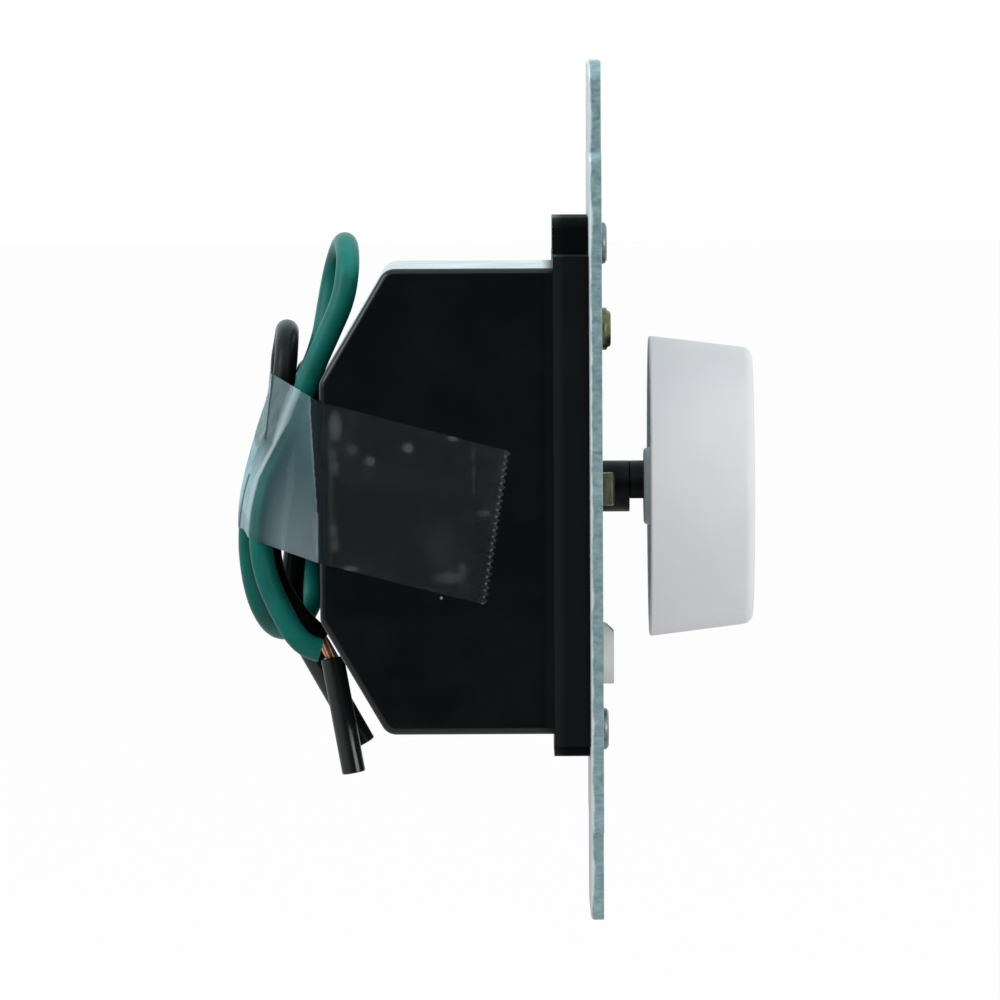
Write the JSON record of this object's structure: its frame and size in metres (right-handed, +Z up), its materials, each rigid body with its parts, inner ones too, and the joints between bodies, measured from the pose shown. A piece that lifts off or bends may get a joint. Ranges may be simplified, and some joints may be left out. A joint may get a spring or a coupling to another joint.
{
  "type": "rotary fan speed control",
  "caption": "Wall-box fan speed control: flat metal strap, black chamfered housing behind it, tapered white push knob on a flatted shaft, and green and black leads taped up at the rear.",
  "frame": {"origin": "on the mounting strap's rear face, at the control shaft's axis, midway between the box screws", "axes": "+Z up along the strap, -Y towards the room through the knob, +Y into the wall box through the housing, +X to the right seen from the room"},
  "size_m": [0.0446, 0.0644, 0.1056],
  "materials": {
    "strap_metal": "plated, with sheared edges",
    "eyelet_metal": "plated",
    "rivet_brass": "satin",
    "frame_bronze": "satin",
    "housing_black": "satin moulded",
    "knob_white": "satin moulded",
    "shaft_black": "moulded",
    "trim_white": "moulded",
    "lead_green": "satin insulation",
    "lead_black": "satin insulation",
    "copper": "bare strands",
    "clear_film": "glossy clear film",
    "spring_steel": "plain",
    "fibre": "pressed fibre",
    "phenolic": "laminate",
    "inner_plastic": "moulded",
    "contact_metal": "tinned",
    "ferrite": "sintered",
    "enamelled_wire": "enamelled",
    "capacitor_case": "dipped",
    "resistor_body": "painted",
    "heat_pad": "matte"
  },
  "bodies": {
    "base": {"mounting_strap": "strap_metal", "plate_screw_eyelets": "eyelet_metal", "triac_rivet": "rivet_brass", "housing": "housing_black", "insulating_sheet": "fibre", "pot_frame": "frame_bronze", "pot_case": "inner_plastic", "track_wafer": "phenolic", "pot_terminals": "contact_metal", "switch_case": "inner_plastic", "plunger_spring": "spring_steel", "switch_blade": "contact_metal", "switch_contacts": "contact_metal", "circuit_board": "phenolic", "triac_pad": "heat_pad", "triac_plate": "eyelet_metal", "triac_body": "inner_plastic", "triac_legs": "contact_metal", "trimmer_body": "inner_plastic", "choke_core": "ferrite", "choke_winding": "enamelled_wire", "suppression_capacitor": "capacitor_case", "timing_capacitor": "capacitor_case", "diac": "resistor_body", "resistors": "resistor_body", "ground_tag": "contact_metal", "inner_leads": "lead_black", "ground_lead": "lead_green", "line_lead": "lead_black", "load_lead": "lead_black", "line_strands": "copper", "load_strands": "copper", "line_slug": "lead_black", "load_slug": "lead_black", "lead_tape": "clear_film"},
    "rotor": {"pot_rotor": "inner_plastic", "wiper": "contact_metal"},
    "knob": {"knob": "knob_white", "control_shaft": "shaft_black", "knob_spring": "spring_steel"},
    "plunger": {"switch_plunger": "trim_white"},
    "trim": {"trim_dial": "trim_white"}
  },
  "joints": [
    {"name": "knob_turn", "type": "hinge", "parent": "base", "child": "rotor", "pos_m": [0, 0, 0], "axis": [0, 1, 0], "range_deg": [-140, 140]},
    {"name": "knob_push", "type": "slide", "parent": "rotor", "child": "knob", "axis": [0, 1, 0], "range_m": [0, 0.0016], "stiffness_N_per_m": 1500, "springref_m": -0.0008, "deforming": ["plunger_spring"]},
    {"name": "plunger_slide", "type": "slide", "parent": "base", "child": "plunger", "axis": [0, 1, 0], "range_m": [0, 0.0016]},
    {"name": "trim_turn", "type": "hinge", "parent": "base", "child": "trim", "pos_m": [-0.009, 0, -0.0202], "axis": [0, 1, 0], "range_deg": [-135, 135]}
  ],
  "couplings": [
    {"joint": "plunger_slide", "follows": "knob_push", "ratio": 1}
  ]
}
